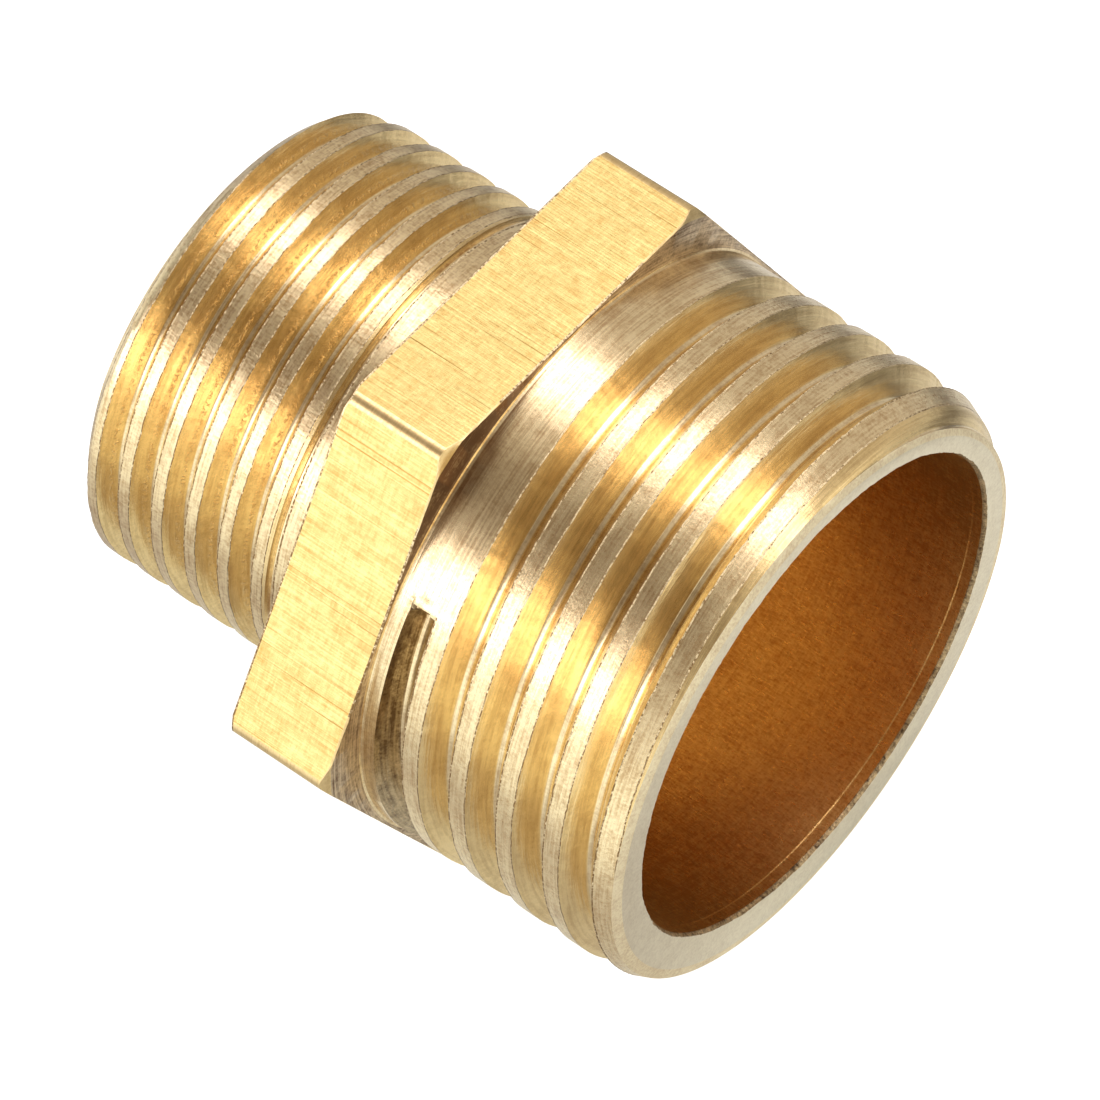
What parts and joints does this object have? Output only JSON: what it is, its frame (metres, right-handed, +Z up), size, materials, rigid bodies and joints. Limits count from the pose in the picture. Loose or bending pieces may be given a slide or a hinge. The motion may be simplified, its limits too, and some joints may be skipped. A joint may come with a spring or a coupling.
{
  "type": "reducing hex nipple",
  "caption": "Reducing hex nipple: a larger and a smaller parallel male thread either side of a hexagon collar, with a stepped through bore.",
  "frame": {"origin": "on the thread axis, half way between the two end faces", "axes": "+X along the thread axis towards the large thread; +Z up, square to the hexagon flat that the fitting lies on; +Y through a hexagon corner"},
  "size_m": [0.0228, 0.0242, 0.021],
  "materials": {
    "brass": "bare turned brass, drawn hexagon flats, cut threads"
  },
  "bodies": {
    "root": {"hex_nipple_body": "brass"}
  },
  "joints": []
}
